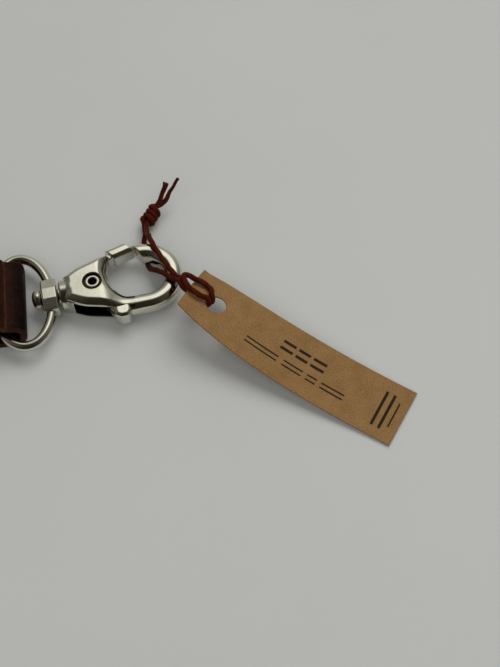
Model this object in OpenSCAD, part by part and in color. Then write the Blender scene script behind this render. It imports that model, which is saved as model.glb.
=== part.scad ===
/* [Strap] */
// strap length from the loop tip to the far end
strap_len = 96; // [80:1:120]
// strap width
strap_w = 19.5; // [17:0.5:20]
// leather thickness of one layer
leather_t = 1.7; // [1.4:0.1:1.8]
// outer radius of the folded loop at the tip
loop_r = 4; // [4:0.1:4.6]
// length of the fold that stays open round the ring
loop_open = 10; // [9.5:0.5:14]
// diameter of the fold rivet caps
cap_d = 8; // [7:0.5:10]

/* [Eye] */
// wire diameter of the oval eye
wire_d = 2.5; // [2.3:0.1:2.6]
// half width of the eye, wire centre line, across the strap
eye_hw = 12.6; // [12:0.1:13]
// half length of the eye, wire centre line, along the strap
eye_hl = 7; // [6.8:0.1:7.2]
// length of the swivel block along its bore
block_l = 3.8; // [3.4:0.1:4]

/* [Swivel] */
// swivel pin shank diameter
pin_d = 3; // [2.8:0.1:3.2]
// swivel pin head diameter
pin_head_d = 4.8; // [4.4:0.1:5]

/* [Hook] */
// outer thickness of the gate housing
body_t = 7.9; // [7.6:0.1:8]
// collar radius at the swivel end
collar_r = 3.8; // [3.6:0.1:3.9]
// width of the hook bar seen from above
bar_w = 4.2; // [3.8:0.1:4.4]
// thickness of the hook bar
bar_t = 4.8; // [4.4:0.1:5]
// radius of the hook bend, bar centre line
bend_r = 7.35; // [7.2:0.05:7.5]

/* [Gate] */
// gate lever thickness
lever_t = 4; // [3.8:0.1:4.1]
// gate rivet shank diameter
rivet_d = 2.6; // [2.4:0.1:2.8]
// gate rivet bore
rivet_bore = 1.9; // [1.6:0.1:2]
// distance from the gate rivet to the gate end
gate_r = 13.8; // [13.7:0.05:13.9]
// spring wire diameter
spring_wire = 0.4; // [0.3:0.05:0.45]

/* [Tag and cord] */
// tag length
tag_len = 60; // [50:1:66]
// tag width
tag_w = 15; // [13:0.5:17]
// card thickness
card_t = 0.4; // [0.3:0.05:0.6]
// tag hole diameter
tag_hole_d = 5; // [4:0.25:5.5]
// cord diameter
cord_d = 1.3; // [1.1:0.05:1.3]

/* [Fits] */
// radial clearance of the turning fits
run_fit = 0.05; // [0.03:0.01:0.08]
// radial clearance of the fixed fits
fix_fit = 0.02; // [0.01:0.01:0.03]
// clearance on each side of the gate lever
side_gap = 0.2; // [0.15:0.05:0.25]

/* [Hidden] */
$fn = 48;

// strap
tip_x = strap_len / 2;
loop_in = loop_r - leather_t;
open_x = tip_x - loop_open;
shut_x = open_x - 13;
rivet_x = shut_x - 8;
corner_r = strap_w / 2;
stack_t = 2 * leather_t;
cap_t = 1.4;
post_d = 3;

// swivel axis frame
hook_x = tip_x + 5.9;
hook_y = 0.1;
hook_z = 4;
hook_yaw = 4.5;

// eye oval
wire_r = wire_d / 2;
eye_c = -6.6;
eye_v = 0.45;
eye_n = 44;
block_pts = [[4.4, 1.6], [1.4, 2.4], [-1.4, 2.4], [-4.4, 1.6], [-4.4, -1.6], [-1.4, -2.4], [1.4, -2.4],
             [4.4, -1.6]];

// swivel
pin_r = pin_d / 2;
head_gap = 0.2;
head_t = 1.3;
dome_h = 1;
head_u = -block_l / 2 - head_gap;
dome_r = (pin_head_d * pin_head_d / 4 + dome_h * dome_h) / (2 * dome_h);
boss_u = block_l / 2 + 0.15;
collar_u = 2.5;
pin_end = 4.9;

// hook
bend_u = 23.1;
bend_v = 0.4;
nose_a = 108;
bar_c = 1.4;
slot_t = lever_t + 2 * side_gap;
slot_u = 5.4;
piv_u = 10.7;
piv_v = 0;
nose_gap = 0.3;
recess_d = 4.6;
recess_t = 0.7;
rim_d = 3.3;
rim_t = 0.5;
top_w = body_t / 2;
housing = [[4.6, 3.6], [6, 4.8], [8, 5.7], [10.5, 6.3], [12.8, 6.5], [14, 6], [14.3, 2.4], [14.5, 0],
           [15.2, -1.8], [16.2, -3.2], [17.4, -4.2], [17.6, -8.4], [15, -7.9], [13, -7.2],
           [10.5, -6.5], [8.5, -5.9], [6, -4.8], [4.6, -3.6]];
shoulder = [[15.2, -1.8], [16.8, -3.4], [18.8, -4.5], [21, -4.85], [21, -8.9], [18.5, -8.8], [15, -8.2],
            [13, -7.2]];
bar_sec = [[-bar_w / 2 + bar_c, -bar_t / 2], [bar_w / 2 - bar_c, -bar_t / 2], [bar_w / 2, -bar_t / 2 + bar_c],
           [bar_w / 2, bar_t / 2 - bar_c], [bar_w / 2 - bar_c, bar_t / 2], [-bar_w / 2 + bar_c, bar_t / 2],
           [-bar_w / 2, bar_t / 2 - bar_c], [-bar_w / 2, -bar_t / 2 + bar_c]];

// gate
hub_r = 3.4;
arm_hw = 1.8;
tab_u = 16.5;
tab_v = -8.3;
tab_r = 2;
slot_end = tab_u + tab_r + 0.15;
slot = [[slot_u, -12], [slot_u, 12], [17, 12], [17, -2.4], [15.2, -2.4], [slot_end, -7.6], [slot_end, -12]];
gate_pts = [[9.2, 2.6], [12, 7.6], [13.2, 8.9], [20.6, 11], [24.4, 8.4], [21.6, 7.3], [15.6, 6.6],
            [14, 2], [12.6, 0]];
well_d = 4.7;
coil_r = 1.85;
coil_turns = 3;
coil_n = 14;
coil_pitch = spring_wire + 0.05;
well_t = coil_turns * coil_pitch + spring_wire + 0.3;
coil_w = lever_t / 2 - 0.15 - spring_wire / 2 - coil_turns * coil_pitch;

// tag sheet centre line in the hook frame, heights above the table
tag_pts = [[33.5, -7.2, 8.3], [44.8, -23.4, 6.5], [59.4, -35.3, 0.6], [73.9, -49.1, 0.45]];
tag_k = tag_len / 60;
tag_p = [for (p = tag_pts) [tag_pts[0][0] + tag_k * (p[0] - tag_pts[0][0]),
                            tag_pts[0][1] + tag_k * (p[1] - tag_pts[0][1]), p[2]]];
tag_lift = 26;
tag_skew = 2;
hole_s = 8;
tag_n = 30;
tag_m = 8;

// hitch on the tag: along the tag, across it, above it
hitch_o = [33.5, -7.2, 8.3];
hitch_d = [0.57, -0.817, -0.09];
hitch_w = [-0.714, -0.546, 0.437];
hitch_n = [0.406, 0.185, 0.895];
hitch_pts = [[-2.6, 0.1, 0.2], [-1.3, 0, -0.6], [0.2, -0.2, -1.15], [3, -0.5, -1.2], [5, -0.6, -1.2],
             [6.35, -0.6, -0.25], [5.6, -0.8, 1.15], [4.5, -1.9, 1.2], [2.9, -2.3, 1.2], [1, -1.9, 1.25],
             [-0.6, -0.9, 1.5], [-1.9, 0.1, 1.85], [-2.3, 0.9, 1.9], [-1.5, 1.8, 1.7], [0, 2.3, 1.4],
             [2, 2.4, 1.25], [3.9, 2.1, 1.2], [5.5, 1.2, 1.15], [6.5, 0.75, -0.1], [5.4, 0.8, -1.3],
             [3, 0.9, -1.2], [0.2, 1.2, -1.15], [-1.3, 1.5, -0.6], [-2.6, 1.55, 0.2]];

// cord centre line in the hook frame, heights above the table
over_pts = [[27.4, 19, 2.4], [26.6, 17, 2.9], [26.2, 14.6, 4], [26.2, 12.4, 5.4], [26.4, 10.3, 6.9],
            [26.7, 8, 7.4], [27.4, 5.4, 7.35], [28.4, 2.4, 7.4], [29.5, -0.6, 7.4], [30.6, -3.2, 7.6]];
under_pts = [[29.6, -3.6, 7.4], [28.6, -2.3, 7.3], [27.5, -0.5, 6.4], [26.4, 1.3, 5], [25.5, 3.2, 3],
             [25, 4.9, 1.2], [24.8, 6.8, 0.7], [24.8, 9, 0.7], [24.9, 11.4, 0.7], [25.2, 13.8, 0.9],
             [25.9, 16.2, 1.5], [26.8, 18.4, 2]];
loop_pts = concat(over_pts,
                  [for (p = hitch_pts) hitch_o + p[0] * hitch_d + p[1] * hitch_w + p[2] * hitch_n],
                  under_pts);
tail_pts = [[33.5, 24.6, 8.6], [32, 23.2, 6.2], [30.4, 21.7, 4.2], [28.8, 20.6, 3.4], [27.4, 19.8, 3.1],
            [26.9, 19.5, 2.2], [27.6, 19.8, 1.4], [29.4, 20.9, 1.7], [31.6, 22.6, 2.9], [34.4, 24.6, 5.2],
            [36.9, 26.1, 7.8]];
knot_p = [27.9, 20.2, 2.4];
knot_r = 2.3;

function unit(v) = v / norm(v);
function tang(p, i) = unit(p[min(i + 1, len(p) - 1)] - p[max(i - 1, 0)]);
function ref(t) = abs(t[2]) > 0.8 ? [0, 1, 0] : [0, 0, 1];
function ring_at(p, i, r, n) =
    let (t = tang(p, i), a = unit(cross(ref(t), t)), b = cross(t, a))
    [for (k = [0:n - 1]) p[i] + r * (cos(360 * k / n) * a + sin(360 * k / n) * b)];
function bez(p, t) = pow(1 - t, 3) * p[0] + 3 * t * pow(1 - t, 2) * p[1]
                     + 3 * t * t * (1 - t) * p[2] + pow(t, 3) * p[3];
function dbez(p, t) = 3 * pow(1 - t, 2) * (p[1] - p[0]) + 6 * t * (1 - t) * (p[2] - p[1])
                      + 3 * t * t * (p[3] - p[2]);
function ease(x) = x <= 0 ? 0 : x >= 1 ? 1 : x * x * (3 - 2 * x);
function strap_top(x) = stack_t + (2 * loop_r - stack_t) * ease((x - shut_x) / (open_x - shut_x));

module tube(p, r, n) {
    m = len(p);
    pts = [for (i = [0:m - 1]) each ring_at(p, i, r, n)];
    sides = [for (i = [0:m - 2], k = [0:n - 1]) let (k2 = (k + 1) % n) each
             [[i * n + k, i * n + k2, (i + 1) * n + k2], [i * n + k, (i + 1) * n + k2, (i + 1) * n + k]]];
    cap0 = [[for (k = [0:n - 1]) n - 1 - k]];
    cap1 = [[for (k = [0:n - 1]) (m - 1) * n + k]];
    polyhedron(points = pts,
               faces = [for (f = concat(cap0, sides, cap1)) [for (j = [len(f) - 1:-1:0]) f[j]]]);
}

module at_hook() translate([hook_x, hook_y, hook_z]) rotate([0, 0, hook_yaw]) children();

module at_pivot() at_hook() translate([piv_u, piv_v, 0]) children();

module strap() color("#2a120b") {
    n = 16;
    outer = concat(
        [[corner_r - tip_x, 0], [tip_x - loop_r, 0]],
        [for (i = [1:n - 1])
            [tip_x - loop_r + loop_r * sin(180 * i / n), loop_r - loop_r * cos(180 * i / n)]],
        [[tip_x - loop_r, 2 * loop_r]],
        [for (i = [0:n]) let (x = open_x + (shut_x - open_x) * i / n) [x, strap_top(x)]],
        [[corner_r - tip_x, stack_t]]);
    inner = concat(
        [[tip_x - loop_r, leather_t]],
        [for (i = [1:n - 1])
            [tip_x - loop_r + loop_in * sin(180 * i / n), loop_r - loop_in * cos(180 * i / n)]],
        [[tip_x - loop_r, 2 * loop_r - leather_t]],
        [for (i = [0:n - 3]) let (x = open_x + (shut_x - open_x) * i / n) [x, strap_top(x) - leather_t]],
        [[shut_x + 2, leather_t]]);
    difference() {
        union() {
            translate([0, strap_w / 2, 0]) rotate([90, 0, 0]) linear_extrude(strap_w) difference() {
                polygon(outer);
                polygon(inner);
            }
            translate([corner_r - tip_x, 0, 0]) cylinder(r = corner_r, h = stack_t);
        }
        translate([rivet_x, 0, -1]) cylinder(d = post_d + 2 * fix_fit, h = stack_t + 2);
        translate([rivet_x, 0, -1]) cylinder(d = cap_d + 2 * fix_fit, h = 1 + cap_t / 2);
    }
}

module rivet_cap() color("#b9b4a6")
    translate([rivet_x, 0, stack_t]) difference() {
        intersection() {
            cylinder(d = cap_d, h = cap_t);
            translate([0, 0, cap_t - cap_d]) sphere(r = cap_d, $fn = 96);
        }
        translate([0, 0, -1]) cylinder(d = post_d + 2 * fix_fit, h = 1 + cap_t / 2);
    }

module rivet_post() color("#b9b4a6") translate([rivet_x, 0, 0]) {
    cylinder(d = cap_d, h = cap_t / 2);
    cylinder(d = post_d, h = stack_t + cap_t / 2);
}

module swivel_eye() color("#c8c4b6") at_hook() difference() {
    union() {
        tube([for (i = [0:eye_n]) let (a = 16 + 328 * i / eye_n)
              [eye_c + eye_hl * cos(a), eye_v + eye_hw * sin(a), 0]], wire_r, 16);
        translate([-block_l / 2, 0, 0]) rotate([90, 0, 90]) linear_extrude(block_l) polygon(block_pts);
    }
    translate([-block_l, 0, 0]) rotate([0, 90, 0]) cylinder(r = pin_r + run_fit, h = 2 * block_l);
}

module swivel_pin() color("#bdb9ab") at_hook() {
    translate([head_u - head_t, 0, 0]) rotate([0, 90, 0]) cylinder(d = pin_head_d, h = head_t);
    translate([head_u - head_t, 0, 0]) intersection() {
        translate([dome_r - dome_h, 0, 0]) sphere(r = dome_r, $fn = 64);
        rotate([0, -90, 0]) cylinder(d = pin_head_d, h = dome_h + 0.1);
    }
    translate([head_u - 0.1, 0, 0]) rotate([0, 90, 0]) cylinder(r = pin_r, h = pin_end - head_u + 0.1);
}

module bar_arc() translate([bend_u, bend_v, 0]) rotate([0, 0, -90])
    rotate_extrude(angle = 90 + nose_a, $fn = 96) translate([bend_r, 0]) polygon(bar_sec);

module hook_body() color("#c8c4b6") at_hook() difference() {
    union() {
        translate([collar_u, 0, 0]) rotate([0, 90, 0]) cylinder(r = collar_r, h = 3);
        translate([boss_u, 0, 0]) rotate([0, 90, 0]) cylinder(r = 2.1, h = 1);
        translate([0, 0, -top_w]) linear_extrude(body_t) polygon(housing);
        translate([0, 0, -top_w + 0.7]) linear_extrude(body_t - 1.4) polygon(shoulder);
        translate([17.4, bend_v - bend_r, 0]) rotate([90, 0, 90])
            linear_extrude(bend_u - 17.4) polygon(bar_sec);
        difference() {
            bar_arc();
            translate([piv_u, piv_v, -5]) intersection() {
                cylinder(r = gate_r + nose_gap, h = 10, $fn = 96);
                translate([0, 3, 0]) cube([30, 30, 10]);
            }
        }
    }
    translate([0, 0, -slot_t / 2]) linear_extrude(slot_t) polygon(slot);
    translate([0, 0, 0]) rotate([0, 90, 0]) cylinder(r = pin_r + fix_fit, h = pin_end + 0.1);
    translate([piv_u, piv_v, -5]) cylinder(d = rivet_d + 2 * fix_fit, h = 10);
    for (s = [0, 1]) translate([piv_u, piv_v, 0]) mirror([0, 0, s]) translate([0, 0, top_w - recess_t])
        cylinder(d = recess_d, h = 2);
}

module gate_rivet() color("#cfcbbd") at_pivot() difference() {
    union() {
        translate([0, 0, -top_w + recess_t]) cylinder(d = rivet_d, h = body_t - 2 * recess_t);
        for (s = [0, 1]) mirror([0, 0, s]) translate([0, 0, top_w - recess_t]) cylinder(d = rim_d, h = rim_t);
    }
    translate([0, 0, -5]) cylinder(d = rivet_bore, h = 10);
}

module gate_lever() color("#c2beb0") at_hook() difference() {
    translate([0, 0, -lever_t / 2]) union() {
        translate([piv_u, piv_v, 0]) cylinder(r = hub_r, h = lever_t);
        intersection() {
            linear_extrude(lever_t) polygon(gate_pts);
            translate([piv_u, piv_v, 0]) cylinder(r = gate_r, h = lever_t, $fn = 96);
        }
        translate([piv_u, piv_v, 0]) rotate([0, 0, atan2(tab_v - piv_v, tab_u - piv_u)])
            translate([0.4, -arm_hw, 0])
                cube([norm([tab_u - piv_u, tab_v - piv_v]) - 0.4, 2 * arm_hw, lever_t]);
        translate([tab_u, tab_v, 0]) cylinder(r = tab_r, h = lever_t);
    }
    translate([piv_u, piv_v, -5]) cylinder(r = rivet_d / 2 + run_fit, h = 10);
    translate([piv_u, piv_v, lever_t / 2 - well_t]) cylinder(d = well_d, h = well_t + 1);
}

module gate_spring() color("#8f8d86") at_pivot() tube(
    [for (i = [0:coil_turns * coil_n]) let (a = 360 * i / coil_n)
     [coil_r * cos(a), coil_r * sin(a), coil_w + coil_pitch * i / coil_n]], spring_wire / 2, 6);

module hang_tag() color("#7d5f39") on_table() {
    nw = tag_m + 1;
    pts = [for (side = [1, -1], i = [0:tag_n], j = [0:tag_m])
        let (side_k = j / tag_m - 0.5,
             t = i / tag_n + 2 * tag_skew / tag_len * side_k * (1 - i / tag_n),
             c = bez(tag_p, t),
             d = unit(dbez(tag_p, t)),
             lift = tag_lift * pow(min(1, 1 - t), 4),
             across = unit(cross(d, [0, 0, 1])),
             up = cross(across, d),
             w = cos(lift) * across + sin(lift) * up,
             n = unit(cross(w, d)))
        c + w * tag_w * side_k + n * side * card_t / 2];
    k = (tag_n + 1) * nw;
    top = [for (i = [0:tag_n - 1], j = [0:tag_m - 1]) let (a = i * nw + j)
           each [[a, a + 1, a + nw + 1], [a, a + nw + 1, a + nw]]];
    bottom = [for (f = top) [f[2] + k, f[1] + k, f[0] + k]];
    edge = concat([for (j = [0:tag_m - 1]) j], [for (i = [0:tag_n - 1]) i * nw + tag_m],
                  [for (j = [tag_m:-1:1]) tag_n * nw + j], [for (i = [tag_n:-1:1]) i * nw]);
    rim = [for (i = [0:len(edge) - 1]) let (a = edge[i], b = edge[(i + 1) % len(edge)])
           each [[b, a, a + k], [b, a + k, b + k]]];
    th = hole_s / tag_len;
    hc = bez(tag_p, th);
    hd = unit(dbez(tag_p, th));
    difference() {
        polyhedron(points = pts, faces = concat(top, bottom, rim));
        translate(hc) rotate(-tag_lift * pow(1 - th, 4), hd)
            translate([0, 0, -3]) cylinder(d = tag_hole_d, h = 6);
    }
}

module on_table() translate([hook_x, hook_y, 0]) rotate([0, 0, hook_yaw]) children();

module cord_loop() color("#2b120c") on_table() tube(loop_pts, cord_d / 2, 8);

module cord_knot() color("#2b120c") on_table() translate(knot_p) sphere(r = knot_r, $fn = 24);

module cord_tails() color("#2b120c") on_table() tube(tail_pts, cord_d / 2, 8);

strap();
rivet_cap();
rivet_post();
swivel_eye();
swivel_pin();
hook_body();
gate_rivet();
gate_lever();
gate_spring();
hang_tag();
cord_loop();
cord_knot();
cord_tails();
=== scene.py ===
"""A leather strap key chain with a swivel snap hook, a hang tag and its cord.

Every length below is in millimetres unless a name ends in _m. Shapes of the hook group are written in the
hook frame (u along the hook, v across it, w up), and to_row() turns them into the row frame in metres.
"""

import math

import bpy
import numpy as np
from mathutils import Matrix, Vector


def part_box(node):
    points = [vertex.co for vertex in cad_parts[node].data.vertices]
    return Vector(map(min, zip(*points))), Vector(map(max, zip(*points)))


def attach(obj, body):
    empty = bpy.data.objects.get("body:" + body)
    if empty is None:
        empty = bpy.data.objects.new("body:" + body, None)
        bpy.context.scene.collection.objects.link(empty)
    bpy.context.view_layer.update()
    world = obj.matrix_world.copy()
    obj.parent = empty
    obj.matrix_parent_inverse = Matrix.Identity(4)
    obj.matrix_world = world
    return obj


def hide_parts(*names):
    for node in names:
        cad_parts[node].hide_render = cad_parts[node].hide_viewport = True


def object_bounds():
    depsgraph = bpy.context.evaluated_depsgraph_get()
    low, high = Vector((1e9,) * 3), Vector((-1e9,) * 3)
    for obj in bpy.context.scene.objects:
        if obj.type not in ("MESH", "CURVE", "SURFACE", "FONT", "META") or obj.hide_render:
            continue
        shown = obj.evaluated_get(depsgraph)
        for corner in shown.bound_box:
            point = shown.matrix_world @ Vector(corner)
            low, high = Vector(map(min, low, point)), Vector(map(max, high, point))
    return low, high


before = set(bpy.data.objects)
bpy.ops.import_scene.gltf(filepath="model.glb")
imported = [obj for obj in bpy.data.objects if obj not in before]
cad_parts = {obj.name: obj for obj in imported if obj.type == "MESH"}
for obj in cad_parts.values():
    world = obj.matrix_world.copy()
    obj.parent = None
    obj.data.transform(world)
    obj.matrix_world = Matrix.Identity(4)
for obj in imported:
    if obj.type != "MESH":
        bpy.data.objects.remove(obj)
CAD_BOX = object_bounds()

MM = 0.001

# ---------------------------------------------------------------------------------------------------------
# Sizes, as in the CAD model
# ---------------------------------------------------------------------------------------------------------

STRAP_LOW, STRAP_HIGH = (np.array(corner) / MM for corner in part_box("strap"))
TIP_X = STRAP_HIGH[0]
STRAP_W = STRAP_HIGH[1] - STRAP_LOW[1]
LEATHER_T = 1.7
LOOP_R = STRAP_HIGH[2] / 2
LOOP_OPEN = 10
SHUT_RUN = 13
RIVET_BACK = 8
OPEN_X = TIP_X - LOOP_OPEN
SHUT_X = OPEN_X - SHUT_RUN
RIVET_X = SHUT_X - RIVET_BACK
STACK_T = 2 * LEATHER_T
CAP_R = 4.0
CAP_T = 1.4

HOOK_ORIGIN = np.array([TIP_X + 5.9, 0.1, LOOP_R])
HOOK_YAW = math.radians(4.5)
TURN = np.array(
    [
        [math.cos(HOOK_YAW), -math.sin(HOOK_YAW), 0],
        [math.sin(HOOK_YAW), math.cos(HOOK_YAW), 0],
        [0, 0, 1],
    ]
)

WIRE_R = 1.25
EYE_CENTRE = -6.6
EYE_HALF_LENGTH = 7.0
EYE_HALF_WIDTH = 12.6
EYE_SHIFT = 0.45
EYE_MOUTH = 16
BLOCK_HALF = 1.9
BLOCK_BORE_R = 1.55

BODY_HALF = 3.95
BAR_HALF_W = 2.1
BAR_HALF_T = 2.4
BEND = (23.1, 0.4)
BEND_R = 7.35
NOSE_ANGLE = 108
PIVOT_U = 10.7
GATE_R = 13.8
NOSE_GAP = 0.3
RIVET_HOLE_R = 1.35
RECESS_R = 2.3
RECESS_T = 0.7
COLLAR_R = 3.75
NECK_R = 2.1
HUB_R = 3.4
LEVER_HALF = 2
CORD_R = 0.65


def to_row(points, lift=HOOK_ORIGIN[2]):
    """Points in the hook frame, in mm, as points in the row frame, in metres."""
    moved = np.asarray(points, float) @ TURN.T
    return (moved + [HOOK_ORIGIN[0], HOOK_ORIGIN[1], lift]) * MM


def unit(vector):
    return vector / np.linalg.norm(vector)


def smoothstep(x):
    x = np.clip(x, 0, 1)
    return x * x * (3 - 2 * x)


def catmull(points, per=8):
    """A smooth open curve through the points."""
    p = np.asarray(points, float)
    p = np.vstack([2 * p[0] - p[1], p, 2 * p[-1] - p[-2]])
    out = []
    for i in range(1, len(p) - 2):
        for t in np.arange(per) / per:
            a = 2 * p[i]
            b = p[i + 1] - p[i - 1]
            c = 2 * p[i - 1] - 5 * p[i] + 4 * p[i + 1] - p[i + 2]
            d = 3 * p[i] - p[i - 1] - 3 * p[i + 1] + p[i + 2]
            out.append(0.5 * (a + b * t + c * t * t + d * t**3))
    out.append(p[-2])
    return np.array(out)


def even(points, step):
    """The same curve with evenly spaced points."""
    points = np.asarray(points, float)
    run = np.concatenate([[0], np.cumsum(np.linalg.norm(np.diff(points, axis=0), axis=1))])
    at = np.linspace(0, run[-1], max(2, int(round(run[-1] / step)) + 1))
    return np.stack([np.interp(at, run, points[:, i]) for i in range(points.shape[1])], 1)


# ---------------------------------------------------------------------------------------------------------
# Camera
# ---------------------------------------------------------------------------------------------------------

LOOK_AT_M = Vector((0.10039, -0.01497, 0))
CAMERA_ELEVATION = math.radians(60)
CAMERA_AZIMUTH = math.radians(-9)
CAMERA_DISTANCE_M = 0.21743
LENS_MM = 48.58
SENSOR_MM = 36


def make_camera():
    data = bpy.data.cameras.new("camera")
    data.sensor_fit = "AUTO"
    data.sensor_width = SENSOR_MM
    data.lens = LENS_MM
    data.clip_start = 0.001
    camera = bpy.data.objects.new("camera", data)
    back = Vector(
        (
            math.sin(CAMERA_AZIMUTH) * math.cos(CAMERA_ELEVATION),
            -math.cos(CAMERA_AZIMUTH) * math.cos(CAMERA_ELEVATION),
            math.sin(CAMERA_ELEVATION),
        )
    )
    camera.location = LOOK_AT_M + CAMERA_DISTANCE_M * back
    camera.rotation_euler = (-back).to_track_quat("-Z", "Y").to_euler()
    bpy.context.collection.objects.link(camera)
    bpy.context.scene.camera = camera


# ---------------------------------------------------------------------------------------------------------
# Mesh helpers
# ---------------------------------------------------------------------------------------------------------


def make_mesh(name, points_m, faces, body, material, normals=None, uv=None):
    """A smooth-shaded piece. uv is one pair for each vertex, and goes into a map named Place."""
    mesh = bpy.data.meshes.new(name)
    mesh.from_pydata([tuple(p) for p in np.asarray(points_m)], [], [tuple(int(i) for i in f) for f in faces])
    mesh.validate()
    mesh.polygons.foreach_set("use_smooth", np.ones(len(mesh.polygons), bool))
    if uv is not None:
        layer = mesh.uv_layers.new(name="Place")
        corner = np.empty(len(mesh.loops), np.int32)
        mesh.loops.foreach_get("vertex_index", corner)
        layer.uv.foreach_set("vector", np.asarray(uv, np.float32)[corner].ravel())
    if normals is not None:
        mesh.normals_split_custom_set_from_vertices([tuple(n) for n in normals])
    mesh.materials.append(material)
    piece = bpy.data.objects.new(name, mesh)
    bpy.context.collection.objects.link(piece)
    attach(piece, body)
    return piece


def tube_rings(path, radius, sides, relief=None):
    """Rings round a path that don't twist. relief(angle, run) scales the radius."""
    path = np.asarray(path, float)
    tangents = np.gradient(path, axis=0)
    tangents /= np.linalg.norm(tangents, axis=1)[:, None]
    run = np.concatenate([[0], np.cumsum(np.linalg.norm(np.diff(path, axis=0), axis=1))])
    side = unit(np.cross(tangents[0], [0.3, 0.2, 1]))
    angles = 2 * np.pi * np.arange(sides) / sides
    rings = []
    for i, (centre, along) in enumerate(zip(path, tangents)):
        side = unit(side - along * side.dot(along))
        up = np.cross(along, side)
        r = radius[i] if np.ndim(radius) else radius
        scale = r * (relief(angles, run[i]) if relief else 1)
        ring = centre + (np.cos(angles) * scale)[:, None] * side + (np.sin(angles) * scale)[:, None] * up
        rings.append(ring)
    return np.array(rings), run


def ring_faces(rings, sides, closed=False):
    faces = []
    last = rings if closed else rings - 1
    for i in range(last):
        a, b = i * sides, ((i + 1) % rings) * sides
        for k in range(sides):
            n = (k + 1) % sides
            faces.append((a + k, a + n, b + n, b + k))
    return faces


def lathe(profile, sides=64):
    """Points and faces of a profile of (radius, height) turned round the third axis. Both ends lie on it."""
    angles = 2 * np.pi * np.arange(sides) / sides
    points = []
    for r, h in profile[1:-1]:
        points += [(r * math.cos(a), r * math.sin(a), h) for a in angles]
    faces = ring_faces(len(profile) - 2, sides)
    first, last = len(points), len(points) + 1
    points += [(0, 0, profile[0][1]), (0, 0, profile[-1][1])]
    start = (len(profile) - 3) * sides
    faces += [(first, (k + 1) % sides, k) for k in range(sides)]
    faces += [(last, start + k, start + (k + 1) % sides) for k in range(sides)]
    return np.array(points), faces


# ---------------------------------------------------------------------------------------------------------
# Rounded metal castings, as distance fields in the hook frame turned into meshes
# ---------------------------------------------------------------------------------------------------------


def smooth_min(a, b, k):
    h = np.clip(0.5 + 0.5 * (b - a) / k, 0, 1)
    return b * (1 - h) + a * h - k * h * (1 - h)


def smooth_max(a, b, k):
    return -smooth_min(-a, -b, k)


def outline_distance(u, v, outline):
    """Signed distance to a closed outline in the plane, negative inside."""
    outline = np.asarray(outline, float)
    best = np.full(np.broadcast(u, v).shape, 1e9)
    inside = np.zeros(best.shape, bool)
    for (au, av), (bu, bv) in zip(outline, np.roll(outline, -1, axis=0)):
        eu, ev = bu - au, bv - av
        t = np.clip(((u - au) * eu + (v - av) * ev) / (eu * eu + ev * ev), 0, 1)
        best = np.minimum(best, (u - au - t * eu) ** 2 + (v - av - t * ev) ** 2)
        if bv != av:
            crosses = ((av <= v) != (bv <= v)) & (u < au + (v - av) * eu / ev)
            inside ^= crosses
    return np.where(inside, -1, 1) * np.sqrt(best)


def line_distance(u, v, points):
    """Distance to an open line in the plane."""
    best = np.full(np.broadcast(u, v).shape, 1e9)
    for (au, av), (bu, bv) in zip(points[:-1], points[1:]):
        eu, ev = bu - au, bv - av
        t = np.clip(((u - au) * eu + (v - av) * ev) / (eu * eu + ev * ev), 0, 1)
        best = np.minimum(best, (u - au - t * eu) ** 2 + (v - av - t * ev) ** 2)
    return np.sqrt(best)


def rounded(a, b, r):
    """Where both a and b are inside, with the edge between them rounded to r."""
    outer = np.sqrt(np.maximum(a + r, 0) ** 2 + np.maximum(b + r, 0) ** 2)
    return np.minimum(np.maximum(a + r, b + r), 0) + outer - r


def gradient(field, p):
    e = 0.02
    axes = np.eye(3) * e
    parts = [field(*(p + a).T) - field(*(p - a).T) for a in axes]
    return np.stack(parts, 1) / (2 * e)


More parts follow.
